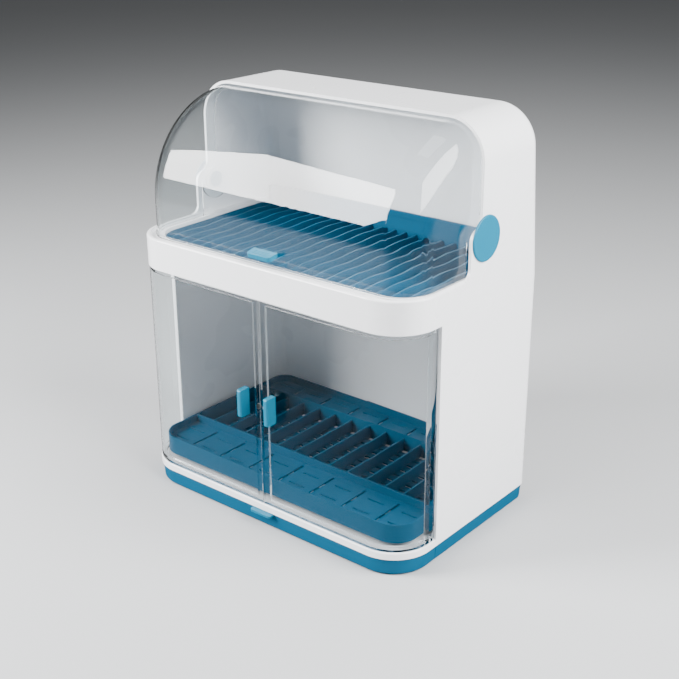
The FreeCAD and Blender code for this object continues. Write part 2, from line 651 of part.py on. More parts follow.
def lid_section(grow, thickness, least_radius):
    """The lid's section at the height of its pivots: a wide U, open to the back."""
    half = LID_HALF_WIDTH + grow
    front = LID_R + grow
    corner = LID_CORNER_R + grow
    outer = u_path(half, front, corner, least_radius)
    inner = u_path(half - thickness, front - thickness, corner - thickness, least_radius)
    ends = [line(outer[0].Vertexes[0].Point, inner[0].Vertexes[0].Point),
            line(outer[-1].Vertexes[-1].Point, inner[-1].Vertexes[-1].Point)]
    return Part.Face(Part.Wire(Part.__sortEdges__(outer + inner + ends)))


def u_path(half, front, corner, least_radius):
    start_y = PIVOT_Y - least_radius
    corner_y = PIVOT_Y - front + corner
    z = PIVOT_Z
    return [
        line(Vector(-half, start_y, z), Vector(-half, corner_y, z)),
        arc(corner - half, corner_y, corner, 180, 270, z),
        line(Vector(corner - half, PIVOT_Y - front, z), Vector(half - corner, PIVOT_Y - front, z)),
        arc(half - corner, corner_y, corner, 270, 360, z),
        line(Vector(half, corner_y, z), Vector(half, start_y, z)),
    ]


def swung(face, start, sweep):
    """A lid section turned back from the front by a start angle and swept on about the pivots."""
    axis_point = Vector(0, PIVOT_Y, PIVOT_Z)
    axis = Vector(-1, 0, 0)
    placed = face.copy()
    placed.rotate(axis_point, axis, start)
    return placed.revolve(axis_point, axis, sweep)


def lid():
    """Clear lid: swung round the pivot axis above, straight below, with a lug at each side."""
    skirt_drop = PIVOT_Z - LID_BOTTOM_Z
    dome = swung(lid_section(0, LID_THICKNESS, LUG_HUB_R), 0, LID_REAR_ANGLE)
    skirt = lid_section(0, LID_THICKNESS, LUG_R).extrude(Vector(0, 0, -skirt_drop))
    bead = lid_section(LID_BEAD_PROUD, LID_THICKNESS + LID_BEAD_PROUD, LUG_R)
    bead.translate(Vector(0, 0, -skirt_drop))
    bead = bead.extrude(Vector(0, 0, LID_BEAD_HEIGHT))
    rim_section = lid_section(0, LID_THICKNESS + LID_RIM_DEPTH, LUG_R)
    rim = swung(rim_section, LID_REAR_ANGLE - LID_RIM_ANGLE, LID_RIM_ANGLE)
    inner_x = LID_HALF_WIDTH - LID_THICKNESS
    lug = side_cylinder(inner_x, LID_HALF_WIDTH, LUG_R)
    hole = side_cylinder(inner_x - RUN_OUT, LID_HALF_WIDTH + RUN_OUT, PIVOT_PIN_R + PIVOT_RUNNING_GAP)
    whole = fused([dome, skirt, bead, rim] + both_sides(lug))
    return cut_all(whole, both_sides(hole)).cut(lid_handle())


def lid_handle():
    """Light blue finger tab on the front of the lid, sloping down to the front."""
    root_z = BAND_TOP_Z + TAB_RISE
    front_y = LID_FRONT_Y - TAB_REACH
    tab = plan_block(TAB_WIDTH / 2, front_y, LID_FRONT_Y + TAB_THICKNESS, TAB_CORNER_R, LEAST_R,
                     root_z, root_z + TAB_THICKNESS)
    tab = cut_all(tab, grip_grooves(0, front_y + TAB_REACH / 2, root_z + TAB_THICKNESS, TAB_WIDTH))
    tab.rotate(Vector(0, LID_FRONT_Y, root_z), Vector(1, 0, 0), TAB_TILT)
    return tab.common(ahead_of(LID_FRONT_Y + HANDLE_TONGUE))


def pivot_cap():
    """Blue cap at the right-hand side, in one piece with the pin that the lid turns on."""
    lid_inner_x = LID_HALF_WIDTH - LID_THICKNESS
    head_x = lid_inner_x - PIVOT_HEAD_GAP - PIVOT_HEAD
    disc = side_cylinder(HALF_WIDTH, HALF_WIDTH + CAP_PROUD, CAP_R)
    outer_edges = [e for e in disc.Edges if e.BoundBox.XMin > HALF_WIDTH + CAP_PROUD / 2]
    disc = disc.makeChamfer(CAP_BEVEL, outer_edges)
    pin = side_cylinder(head_x, HALF_WIDTH, PIVOT_PIN_R)
    head = side_cylinder(head_x, head_x + PIVOT_HEAD, PIVOT_HEAD_R)
    return fused([disc, pin, head])


def rib(x, y0, y1, foot_z):
    """One upper rack rib, with a gently waved top made of equal arcs and a round rear end."""
    z = foot_z + RIB_RISE
    half_wave = (y1 - y0) / RIB_HALF_WAVES
    side = x - RIB_THICKNESS / 2
    edges = [
        line(Vector(side, y1, z), Vector(side, y1, foot_z)),
        line(Vector(side, y1, foot_z), Vector(side, y0, foot_z)),
        line(Vector(side, y0, foot_z), Vector(side, y0, z)),
    ]
    for i in range(RIB_HALF_WAVES):
        start = y0 + i * half_wave
        crest = z + RIB_WAVE * (1 if i % 2 else -1)
        edges.append(Part.Arc(Vector(side, start, z), Vector(side, start + half_wave / 2, crest),
                              Vector(side, start + half_wave, z)).toShape())
    blade = Part.Face(Part.Wire(edges)).extrude(Vector(RIB_THICKNESS, 0, 0))
    corner = [e for e in level_edges(blade, z) if e.BoundBox.YMin > y1 - NEAR]
    return blade.makeFillet(RIB_END_R, corner)


def rack_block(inset, z0, z1):
    return well_block(-RACK_GAP - inset, z0, z1)


def upper_rack():
    """Blue upper rack: a tray with long waved ribs, a drained floor and a taller back."""
    back_y = WELL_BACK_Y - RACK_GAP
    front_y = WELL_FRONT_Y + RACK_GAP
    rim_z = RACK_Z + RACK_RIM_HEIGHT
    back_z = RACK_Z + RACK_BACK_HEIGHT
    walls = rack_block(0, RACK_Z, rim_z).cut(rack_block(RACK_WALL, RACK_Z, rim_z))
    back_zone = behind(back_y - RACK_REAR_R)
    tall_back = rack_block(0, RACK_Z, back_z).cut(rack_block(RACK_WALL, RACK_Z, back_z)).common(back_zone)
    step_z = RACK_Z + RACK_BACK_STEP_RISE
    step = rack_block(0, step_z, back_z).cut(rack_block(RACK_WALL + RACK_BACK_STEP, step_z, back_z))
    step = step.common(back_zone)
    floor = rack_block(RACK_WALL / 2, RACK_FLOOR_Z - RACK_FLOOR, RACK_FLOOR_Z)
    ribs = []
    slots = []
    slot_front_y = front_y + RACK_WALL
    slot_room = back_y - RIB_END_GAP - slot_front_y
    slot_pitch = (slot_room - RACK_SLOT_BRIDGE) / RACK_SLOT_ROWS
    slot_middle = slot_front_y + slot_room / 2
    for x in spread(RIB_COUNT, RIB_PITCH):
        ribs.append(rib(x, front_y, back_y - RIB_END_GAP, RACK_FLOOR_Z - RACK_FLOOR / 2))
    for x in spread(RIB_COUNT - 1, RIB_PITCH):
        for y in spread(RACK_SLOT_ROWS, slot_pitch):
            slots.append(centred_box(x, RACK_SLOT_WIDTH, slot_middle + y, slot_pitch - RACK_SLOT_BRIDGE,
                                     RACK_Z, RACK_FLOOR_Z + RUN_OUT))
    rib_zone = rack_block(RACK_WALL / 2, RACK_Z, back_z)
    clipped = [one.common(rib_zone) for one in ribs]
    return cut_all(fused([walls, tall_back, step, floor] + clipped), slots)


def low_block(inset, z0, z1):
    return plan_block(LOW_HALF_WIDTH - inset, LOW_FRONT_Y + inset, LOW_BACK_Y - inset,
                      LOW_RACK_FRONT_R - inset, LOW_RACK_REAR_R - inset, z0, z1)


def shelf_slots(y0, y1):
    """Drain slots of one shelf: long ones to and fro, and two short ones across on each side of them."""
    z0 = SHELF_Z - SHELF_THICKNESS - RUN_OUT
    z1 = SHELF_Z + RUN_OUT
    length = y1 - y0 - 2 * SLOT_END_GAP
    centre = (y0 + y1) / 2
    tools = []
    for x in spread(LONG_SLOT_COUNT, LONG_SLOT_PITCH):
        tools.append(centred_box(x, LONG_SLOT_WIDTH, centre, length, z0, z1))
    for x in spread(LONG_SLOT_COUNT + 1, LONG_SLOT_PITCH):
        for y in spread(2, length / 2):
            tools.append(centred_box(x, SHORT_SLOT_LENGTH, centre + y, SHORT_SLOT_WIDTH, z0, z1))
    return tools


def lower_rack():
    """Blue lower rack: a drained shelf front and back, and a sunken row of plate dividers."""
    front_beam_y = LOW_FRONT_Y + FRONT_SHELF_DEPTH
    rear_beam_y = LOW_BACK_Y - REAR_SHELF_DEPTH
    half = LOW_HALF_WIDTH - LOW_RACK_WALL / 2
    shelf_z = SHELF_Z - SHELF_THICKNESS
    walls = low_block(0, LOW_Z, LOW_RIM_Z).cut(low_block(LOW_RACK_WALL, LOW_Z, LOW_RIM_Z))
    inside = low_block(LOW_RACK_WALL / 2, LOW_Z, LOW_RIM_Z)
    front_shelf = box(-half, half, LOW_FRONT_Y, front_beam_y, shelf_z, SHELF_Z).common(inside)
    rear_shelf = box(-half, half, rear_beam_y, LOW_BACK_Y, shelf_z, SHELF_Z).common(inside)
    beams = []
    for y in (front_beam_y, rear_beam_y):
        beams.append(box(-half, half, y - LOW_RACK_WALL / 2, y + LOW_RACK_WALL / 2, LOW_Z, LOW_RIM_Z))
    dividers = []
    for x in spread(DIVIDER_COUNT, DIVIDER_PITCH):
        dividers.append(box(x - DIVIDER_THICKNESS / 2, x + DIVIDER_THICKNESS / 2, front_beam_y, rear_beam_y,
                            LOW_Z, LOW_RIM_Z - DIVIDER_DROP))
    bars = []
    bar_pitch = (rear_beam_y - front_beam_y) / (GRATE_BAR_COUNT + 1)
    for y in spread(GRATE_BAR_COUNT, bar_pitch):
        middle = (front_beam_y + rear_beam_y) / 2 + y
        bars.append(box(-half, half, middle - GRATE_BAR_WIDTH / 2, middle + GRATE_BAR_WIDTH / 2,
                        LOW_Z, LOW_Z + GRATE_THICKNESS))
    feet_below = []
    for x in (-half + LOW_RACK_FOOT_INSET, half - LOW_RACK_FOOT_INSET):
        for y in (front_beam_y, rear_beam_y):
            place = Vector(x, y, LOW_Z - LOW_RACK_FOOT)
            feet_below.append(Part.makeCylinder(LOW_RACK_FOOT_R, LOW_RACK_FOOT + GRATE_THICKNESS, place))
    rack = fused([walls, front_shelf, rear_shelf] + beams + dividers + bars + feet_below)
    tools = shelf_slots(LOW_FRONT_Y, front_beam_y) + shelf_slots(rear_beam_y, LOW_BACK_Y)
    return cut_all(rack, tools)


def save(name, shape):
    if not shape.isValid():
        print("not valid:", name)
    shape.exportStep("parts/%s.step" % name)
    box_size = shape.BoundBox
    print("%-22s solids %d volume %.1f cm3 z %.2f to %.2f" %
          (name, len(shape.Solids), shape.Volume / 1000, box_size.ZMin, box_size.ZMax))


def main():
    os.makedirs("parts", exist_ok=True)
    save("feet", feet())
    save("rear_base", rear_base())
    save("drip_drawer", drip_drawer())
    save("drawer_pull", drawer_pull())
    save("lower_housing", lower_housing())
    save("upper_housing", upper_housing())
    save("lid", lid())
    save("lid_handle", lid_handle())
    save("upper_rack", upper_rack())
    save("lower_rack", lower_rack())
    lower_pin, upper_pin = door_pins()
    right_hand = {
        "door": door(),
        "door_handle": door_handle(),
        "door_magnet": door_magnet(),
        "door_lower_pin": lower_pin,
        "door_upper_pin": upper_pin,
        "pivot_cap": pivot_cap(),
    }
    for name, shape in right_hand.items():
        save("right_" + name, shape)
        save("left_" + name, mirrored(shape))


main()
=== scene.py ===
import bpy
import json
import math
from mathutils import Matrix, Vector


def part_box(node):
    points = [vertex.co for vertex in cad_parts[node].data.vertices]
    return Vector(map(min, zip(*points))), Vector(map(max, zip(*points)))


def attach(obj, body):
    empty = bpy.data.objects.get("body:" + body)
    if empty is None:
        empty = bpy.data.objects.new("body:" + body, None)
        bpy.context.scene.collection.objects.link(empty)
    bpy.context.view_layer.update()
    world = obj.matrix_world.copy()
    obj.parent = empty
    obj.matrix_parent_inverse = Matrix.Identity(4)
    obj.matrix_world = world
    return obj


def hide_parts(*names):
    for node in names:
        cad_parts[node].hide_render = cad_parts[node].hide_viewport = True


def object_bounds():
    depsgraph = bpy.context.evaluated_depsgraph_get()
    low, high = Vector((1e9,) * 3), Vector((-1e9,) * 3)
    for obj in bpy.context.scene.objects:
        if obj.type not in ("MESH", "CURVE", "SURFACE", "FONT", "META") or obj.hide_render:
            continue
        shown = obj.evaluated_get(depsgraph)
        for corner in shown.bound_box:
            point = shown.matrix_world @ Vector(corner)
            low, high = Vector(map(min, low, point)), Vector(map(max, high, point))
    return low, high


bl_info = {
    "name": "Covered dish drying rack",
    "version": (1, 0, 0),
    "blender": (4, 5, 0),
    "location": "View3D > Sidebar > Dish rack",
    "description": "Finishes the covered dish drying rack: casings, racks, drawer, clear doors and lid",
    "category": "Object",
}

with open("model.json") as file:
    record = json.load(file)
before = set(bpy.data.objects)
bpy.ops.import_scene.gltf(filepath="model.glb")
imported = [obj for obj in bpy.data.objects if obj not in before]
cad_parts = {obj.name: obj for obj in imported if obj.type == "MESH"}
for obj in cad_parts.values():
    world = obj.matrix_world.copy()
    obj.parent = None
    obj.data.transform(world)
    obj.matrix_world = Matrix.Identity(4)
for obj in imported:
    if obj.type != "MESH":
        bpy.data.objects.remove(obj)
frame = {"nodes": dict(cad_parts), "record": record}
FRAME_BOX = [list(corner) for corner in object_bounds()]

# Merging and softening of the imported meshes
MERGE_DISTANCE = 0.00002
FLAT_ANGLE = math.radians(0.6)
SOFTENED_ANGLE = math.radians(28)
SOFT_EDGE_SEGMENTS = 2
SMOOTH_ANGLE = math.radians(35)

# Values that several materials share
DEFAULT_MARKS = {"Flow Scale": 9.0, "Grain Scale": 900.0, "Roughness": 0.25, "Spread": 0.08}
GRAIN_SHARE = 0.25
PLASTIC_INDEX = 1.49
COAT_ROUGHNESS = 0.06

# Studio
SENSOR_WIDTH = 36.0
FLOOR_WIDTH = 12.0
FLOOR_TONE = 0.97
ROOM_COLOUR = (0.86, 0.88, 0.90, 1.0)
# Name, place, aim, width, height, the property that holds the power, and whether glossy surfaces mirror it
LIGHTS = (
    ("left_softbox", (-0.91, -1.02, 0.92), (0, -0.08, 0.37), 0.62, 0.92, "left_power", True),
    ("right_softbox", (1.30, 0.10, 1.13), (0.17, -0.03, 0.40), 1.35, 0.95, "right_power", True),
    ("top_light", (0.0, 0.2, 2.0), (0, 0, 0.3), 1.0, 0.8, "top_power", False),
)


class DishRackFinish(bpy.types.PropertyGroup):
    """Colours and edge sizes of the moulded pieces."""

    white: bpy.props.FloatVectorProperty(
        name="White", description="Colour of the casings", subtype="COLOR", size=4, min=0, max=1,
        default=(0.88, 0.89, 0.91, 1.0))
    blue: bpy.props.FloatVectorProperty(
        name="Blue", description="Colour of the racks, the base and the drawer", subtype="COLOR", size=4,
        min=0, max=1, default=(0.004, 0.086, 0.168, 1.0))
    light_blue: bpy.props.FloatVectorProperty(
        name="Light blue", description="Colour of the grips, tabs and pivot caps", subtype="COLOR", size=4,
        min=0, max=1, default=(0.0, 0.155, 0.26, 1.0))
    clear: bpy.props.FloatVectorProperty(
        name="Clear", description="Tint of the lid and the doors", subtype="COLOR", size=4, min=0, max=1,
        default=(0.93, 0.96, 0.965, 1.0))
    casing_edge: bpy.props.FloatProperty(
        name="Casing edge", description="Width of the soft edges of the white casings", unit="LENGTH",
        default=0.0007, min=0, max=0.003)
    blue_edge: bpy.props.FloatProperty(
        name="Blue edge", description="Width of the soft edges of the blue mouldings", unit="LENGTH",
        default=0.0005, min=0, max=0.003)
    clear_edge: bpy.props.FloatProperty(
        name="Clear edge", description="Width of the soft edges of the doors and the lid", unit="LENGTH",
        default=0.0004, min=0, max=0.003)
    grip_edge: bpy.props.FloatProperty(
        name="Grip edge", description="Width of the soft edges of the grips and tabs", unit="LENGTH",
        default=0.0005, min=0, max=0.003)


class DishRackStudio(bpy.types.PropertyGroup):
    """Where the camera stands, and how strong the lights are."""

    azimuth: bpy.props.FloatProperty(
        name="Azimuth", description="Turn of the camera from the front to the right", subtype="ANGLE",
        default=math.radians(39.53))
    elevation: bpy.props.FloatProperty(
        name="Elevation", description="Height of the camera as an angle", subtype="ANGLE",
        default=math.radians(22.26))
    roll: bpy.props.FloatProperty(
        name="Roll", description="Tilt of the camera about its own axis", subtype="ANGLE",
        default=math.radians(-0.30))
    distance: bpy.props.FloatProperty(
        name="Distance", description="From the middle of the rack to the camera", unit="LENGTH",
        default=1.29799)
    aside: bpy.props.FloatProperty(
        name="Aside", description="How far the rack stands left of the middle of the view", unit="LENGTH",
        default=0.0086)
    above: bpy.props.FloatProperty(
        name="Above", description="How far the rack stands above the middle of the view", unit="LENGTH",
        default=0.03967)
    lens: bpy.props.FloatProperty(
        name="Lens", description="Focal length in millimetres on a 36 mm sensor", default=62.99, min=10,
        max=300)
    left_power: bpy.props.FloatProperty(
        name="Left softbox", description="Power of the softbox at the front left in watts", default=88.0,
        min=0)
    right_power: bpy.props.FloatProperty(
        name="Right softbox", description="Power of the softbox at the right in watts", default=92.0, min=0)
    top_power: bpy.props.FloatProperty(
        name="Top light", description="Power of the top light in watts", default=12.0, min=0)
    room_light: bpy.props.FloatProperty(
        name="Room light", description="Strength of the even light of the room", default=0.17, min=0)
    backdrop: bpy.props.FloatVectorProperty(
        name="Floor", description="Colour of the floor", subtype="COLOR", size=4, min=0, max=1,
        default=(0.47, 0.48, 0.49, 1.0))


def finish_sizes():
    """The colours and edge sizes that the panel shows."""
    return bpy.context.scene.dish_rack_finish


def studio_sizes():
    """The camera and light values that the panel shows."""
    return bpy.context.scene.dish_rack_studio


def deselect_all():
    if bpy.context.object and bpy.context.object.mode != "OBJECT":
        bpy.ops.object.mode_set(mode="OBJECT")
    bpy.ops.object.select_all(action="DESELECT")


def make_active(piece):
    deselect_all()
    piece.select_set(True)
    bpy.context.view_layer.objects.active = piece


def merged_copy(node, name):
    """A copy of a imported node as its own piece, with its loose triangles merged and flat faces joined."""
    piece = frame["nodes"][node].copy()
    piece.data = frame["nodes"][node].data.copy()
    piece.name = name
    piece.data.name = name
    piece.parent = None
    for key in [key for key in piece.keys() if key.startswith("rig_")]:
        del piece[key]
    bpy.context.scene.collection.objects.link(piece)
    make_active(piece)
    if piece.data.has_custom_normals:
        bpy.ops.mesh.customdata_custom_splitnormals_clear()
    bpy.ops.object.mode_set(mode="EDIT")
    bpy.ops.mesh.select_all(action="SELECT")
    bpy.ops.mesh.remove_doubles(threshold=MERGE_DISTANCE)
    bpy.ops.mesh.dissolve_limited(angle_limit=FLAT_ANGLE)
    bpy.ops.object.mode_set(mode="OBJECT")
    return piece


def soften(piece, width):
    """Round the sharp edges of a piece by a small bevel and shade the rest smooth."""
    make_active(piece)
    bevel = piece.modifiers.new("soft_edges", "BEVEL")
    bevel.width = width
    bevel.segments = SOFT_EDGE_SEGMENTS
    bevel.limit_method = "ANGLE"
    bevel.angle_limit = SOFTENED_ANGLE
    bevel.harden_normals = False
    bevel.use_clamp_overlap = True
    bpy.ops.object.modifier_apply(modifier=bevel.name)
    bpy.ops.object.shade_smooth_by_angle(angle=SMOOTH_ANGLE)
    weight = piece.modifiers.new("even_shading", "WEIGHTED_NORMAL")
    weight.keep_sharp = True
    bpy.ops.object.modifier_apply(modifier=weight.name)


def dress(piece, material):
    """Give a piece one material in place of what it had."""
    piece.data.materials.clear()
    piece.data.materials.append(material)


def body_of(node):
    """The body that carries a node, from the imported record."""
    for body, nodes in frame["record"]["behaviour"]["bodies"].items():
        if node in nodes:
            return body
    raise ValueError("no body holds " + node)


def finish_node(node, name, material, width):
    """Stand a soft-edged copy in for a node, in its own place and on its own body."""
    piece = merged_copy(node, name)
    soften(piece, width)
    dress(piece, material)
    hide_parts(node)
    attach(piece, body_of(node))


def new_material(name):
    """A material with its nodes and links, and its own shader."""
    material = bpy.data.materials.new(name)
    material.use_nodes = True
    nodes = material.node_tree.nodes
    return material, nodes, material.node_tree.links, nodes["Principled BSDF"]


def moulding_group():
    """Node group: the slow flow marks and fine grain that every moulded surface has."""
    name = "moulding_marks"
    if name in bpy.data.node_groups:
        return bpy.data.node_groups[name]
    group = bpy.data.node_groups.new(name, "ShaderNodeTree")
    sockets = group.interface
    for label, value in DEFAULT_MARKS.items():
        socket = sockets.new_socket(label, in_out="INPUT", socket_type="NodeSocketFloat")
        socket.default_value = value
    for label in ("Flow", "Roughness", "Height"):
        sockets.new_socket(label, in_out="OUTPUT", socket_type="NodeSocketFloat")
    nodes = group.nodes
    links = group.links
    entry = nodes.new("NodeGroupInput")
    leave = nodes.new("NodeGroupOutput")
    place = nodes.new("ShaderNodeTexCoord")
    flow = nodes.new("ShaderNodeTexNoise")
    flow.inputs["Detail"].default_value = 3.0
    flow.inputs["Roughness"].default_value = 0.55
    grain = nodes.new("ShaderNodeTexNoise")
    grain.inputs["Detail"].default_value = 2.0
    links.new(place.outputs["Object"], flow.inputs["Vector"])
    links.new(place.outputs["Object"], grain.inputs["Vector"])
    links.new(entry.outputs["Flow Scale"], flow.inputs["Scale"])
    links.new(entry.outputs["Grain Scale"], grain.inputs["Scale"])
    centred = nodes.new("ShaderNodeMath")
    centred.operation = "SUBTRACT"
    centred.inputs[1].default_value = 0.5
    links.new(flow.outputs["Fac"], centred.inputs[0])
    uneven = nodes.new("ShaderNodeMath")
    uneven.operation = "MULTIPLY_ADD"
    links.new(centred.outputs[0], uneven.inputs[0])
    links.new(entry.outputs["Spread"], uneven.inputs[1])
    links.new(entry.outputs["Roughness"], uneven.inputs[2])
    height = nodes.new("ShaderNodeMath")
    height.operation = "MULTIPLY_ADD"
    height.inputs[1].default_value = GRAIN_SHARE
    links.new(grain.outputs["Fac"], height.inputs[0])
    links.new(flow.outputs["Fac"], height.inputs[2])
    links.new(flow.outputs["Fac"], leave.inputs["Flow"])
    links.new(uneven.outputs[0], leave.inputs["Roughness"])
    links.new(height.outputs[0], leave.inputs["Height"])
    return group


def add_marks(nodes, flow_scale, grain_scale, roughness, spread):
    """The moulding marks with a material's own sizes."""
    marks = nodes.new("ShaderNodeGroup")
    marks.node_tree = moulding_group()
    marks.inputs["Flow Scale"].default_value = flow_scale
    marks.inputs["Grain Scale"].default_value = grain_scale
    marks.inputs["Roughness"].default_value = roughness
    marks.inputs["Spread"].default_value = spread
    return marks


def add_tones(nodes, links, factor, dark, light, shader):
    """Let the base colour run between a darker and a lighter tone."""
    shade = nodes.new("ShaderNodeMix")
    shade.data_type = "RGBA"
    shade.inputs["A"].default_value = list(dark[:3]) + [1.0]
    shade.inputs["B"].default_value = list(light[:3]) + [1.0]
    links.new(factor, shade.inputs["Factor"])
    links.new(shade.outputs["Result"], shader.inputs["Base Color"])


def add_relief(nodes, links, height, strength, distance, shader):
    """Let the surface rise and fall a little with a height."""
    relief = nodes.new("ShaderNodeBump")
    relief.inputs["Strength"].default_value = strength
    relief.inputs["Distance"].default_value = distance
    links.new(height, relief.inputs["Height"])
    links.new(relief.outputs["Normal"], shader.inputs["Normal"])


def moulded_plastic(name, colour, roughness, flow_scale, grain_scale, relief, tone, coat, shine):
    """Opaque plastic with slow flow marks, fine grain and a slightly uneven shine."""
    material, nodes, links, shader = new_material(name)
    marks = add_marks(nodes, flow_scale, grain_scale, roughness, spread=0.10)
    darker = [channel * tone for channel in colour[:3]]
    add_tones(nodes, links, marks.outputs["Flow"], darker, colour, shader)
    links.new(marks.outputs["Roughness"], shader.inputs["Roughness"])
    add_relief(nodes, links, marks.outputs["Height"], relief, 0.0004, shader)
    shader.inputs["IOR"].default_value = PLASTIC_INDEX
    shader.inputs["Specular IOR Level"].default_value = shine
    shader.inputs["Coat Weight"].default_value = coat
    shader.inputs["Coat Roughness"].default_value = COAT_ROUGHNESS
    return material


def clear_plastic(name, index, shade_through):
    """Clear moulded plastic with slow waviness. Soft light passes on through it to what stands inside."""
    material, nodes, links, shader = new_material(name)
    shader.inputs["Base Color"].default_value = list(finish_sizes().clear[:3]) + [1.0]
    shader.inputs["Transmission Weight"].default_value = 1.0
    shader.inputs["IOR"].default_value = index
    marks = add_marks(nodes, flow_scale=14.0, grain_scale=400.0, roughness=0.006, spread=0.008)
    links.new(marks.outputs["Roughness"], shader.inputs["Roughness"])
    add_relief(nodes, links, marks.outputs["Flow"], 0.10, 0.0008, shader)
    passing = nodes.new("ShaderNodeBsdfTransparent")
    passing.inputs["Color"].default_value = [shade_through, shade_through, shade_through, 1.0]
    path = nodes.new("ShaderNodeLightPath")
    soft_light = nodes.new("ShaderNodeMath")
    soft_light.operation = "MAXIMUM"
    links.new(path.outputs["Is Shadow Ray"], soft_light.inputs[0])
    links.new(path.outputs["Is Diffuse Ray"], soft_light.inputs[1])
    choice = nodes.new("ShaderNodeMixShader")
    links.new(soft_light.outputs[0], choice.inputs["Fac"])
    links.new(shader.outputs["BSDF"], choice.inputs[1])
    links.new(passing.outputs["BSDF"], choice.inputs[2])
    links.new(choice.outputs["Shader"], nodes["Material Output"].inputs["Surface"])
    return material


def ground_steel(name):
    """Ground steel with fine marks along the length of a pin."""
    material, nodes, links, shader = new_material(name)
    shader.inputs["Metallic"].default_value = 1.0
    place = nodes.new("ShaderNodeTexCoord")
    stretch = nodes.new("ShaderNodeMapping")
    stretch.inputs["Scale"].default_value = (3000.0, 3000.0, 120.0)
    marks = nodes.new("ShaderNodeTexNoise")
    marks.inputs["Scale"].default_value = 1.0
    links.new(place.outputs["Object"], stretch.inputs["Vector"])
    links.new(stretch.outputs["Vector"], marks.inputs["Vector"])
    ramp = nodes.new("ShaderNodeValToRGB")
    ramp.color_ramp.elements[0].color = (0.42, 0.43, 0.45, 1.0)
    ramp.color_ramp.elements[1].color = (0.72, 0.73, 0.75, 1.0)
    links.new(marks.outputs["Fac"], ramp.inputs["Fac"])
    links.new(ramp.outputs["Color"], shader.inputs["Base Color"])
    shine = nodes.new("ShaderNodeMapRange")
    shine.inputs["To Min"].default_value = 0.22
    shine.inputs["To Max"].default_value = 0.42
    links.new(marks.outputs["Fac"], shine.inputs["Value"])
    links.new(shine.outputs["Result"], shader.inputs["Roughness"])
    return material


def foot_rubber(name):
    """Dull dark rubber with a fine pitted surface."""
    material, nodes, links, shader = new_material(name)
    marks = add_marks(nodes, flow_scale=120.0, grain_scale=1800.0, roughness=0.8, spread=0.08)
    add_tones(nodes, links, marks.outputs["Flow"], (0.02, 0.02, 0.022), (0.05, 0.05, 0.053), shader)
    links.new(marks.outputs["Roughness"], shader.inputs["Roughness"])
    add_relief(nodes, links, marks.outputs["Height"], 0.3, 0.0002, shader)
    return material


def material_named(name, make):
    """The material of that name, made the first time that it is asked for."""
    found = bpy.data.materials.get(name)
    return found if found else make(name)


def white_finish():
    return material_named("white_casing_plastic", lambda name: moulded_plastic(
        name, finish_sizes().white, roughness=0.28, flow_scale=7.0, grain_scale=1100.0, relief=0.10,
        tone=0.97, coat=0.25, shine=0.5))


def blue_finish():
    return material_named("blue_rack_plastic", lambda name: moulded_plastic(
        name, finish_sizes().blue, roughness=0.42, flow_scale=12.0, grain_scale=900.0, relief=0.14,
        tone=0.90, coat=0.0, shine=0.08))


def light_blue_finish():
    return material_named("light_blue_grip_plastic", lambda name: moulded_plastic(
        name, finish_sizes().light_blue, roughness=0.36, flow_scale=25.0, grain_scale=1200.0, relief=0.10,
        tone=0.93, coat=0.0, shine=0.25))


def lid_finish():
    return material_named("clear_lid_plastic", lambda name: clear_plastic(
        name, index=1.40, shade_through=0.92))


def door_finish():
    return material_named("clear_door_plastic", lambda name: clear_plastic(
        name, index=1.16, shade_through=0.72))


def steel_finish():
    return material_named("ground_pin_steel", ground_steel)


def rubber_finish():
    return material_named("foot_rubber", foot_rubber)


class DISHRACK_OT_casings(bpy.types.Operator):
    """Finish the two white casings"""
    bl_idname = "dishrack.casings"
    bl_label = "White casings"

    def execute(self, context):
        width = finish_sizes().casing_edge
        finish_node("lower_housing", "lower_casing", white_finish(), width)
        finish_node("upper_housing", "upper_casing", white_finish(), width)
        return {"FINISHED"}


class DISHRACK_OT_base(bpy.types.Operator):
    """Finish the blue base, its rubber feet and the drip drawer with its pull"""
    bl_idname = "dishrack.base"
    bl_label = "Base and drawer"

    def execute(self, context):
        sizes = finish_sizes()
        finish_node("rear_base", "base_moulding", blue_finish(), sizes.blue_edge)
        finish_node("drip_drawer", "drawer_moulding", blue_finish(), sizes.blue_edge)
        finish_node("drawer_pull", "drawer_tab", light_blue_finish(), sizes.grip_edge)
        finish_node("feet", "rubber_feet", rubber_finish(), sizes.grip_edge)
        return {"FINISHED"}


class DISHRACK_OT_racks(bpy.types.Operator):
    """Finish the two lift-out racks"""
    bl_idname = "dishrack.racks"
    bl_label = "Racks"

    def execute(self, context):
        width = finish_sizes().blue_edge
        finish_node("upper_rack", "upper_rack_moulding", blue_finish(), width)
        finish_node("lower_rack", "lower_rack_moulding", blue_finish(), width)
        return {"FINISHED"}


class DISHRACK_OT_lid(bpy.types.Operator):
    """Finish the clear lid, its tab and the two pivot caps"""
    bl_idname = "dishrack.lid"
    bl_label = "Lid"

    def execute(self, context):
        sizes = finish_sizes()
        finish_node("lid", "clear_lid", lid_finish(), sizes.clear_edge)
        finish_node("lid_handle", "lid_tab", light_blue_finish(), sizes.grip_edge)
        for side in ("left", "right"):
            finish_node(side + "_pivot_cap", side + "_cap", light_blue_finish(),
                        sizes.grip_edge)
        return {"FINISHED"}


class DISHRACK_OT_doors(bpy.types.Operator):
    """Finish the clear doors with their grips, magnets and hinge pins"""
    bl_idname = "dishrack.doors"
    bl_label = "Doors"

    def execute(self, context):
        sizes = finish_sizes()
        for side in ("left", "right"):
            finish_node(side + "_door", side + "_clear_door", door_finish(),
                        sizes.clear_edge)
            finish_node(side + "_door_handle", side + "_grip", light_blue_finish(),
                        sizes.grip_edge)
            for node in ("_door_magnet", "_door_lower_pin", "_door_upper_pin"):
                dress(frame["nodes"][side + node], steel_finish())
        return {"FINISHED"}


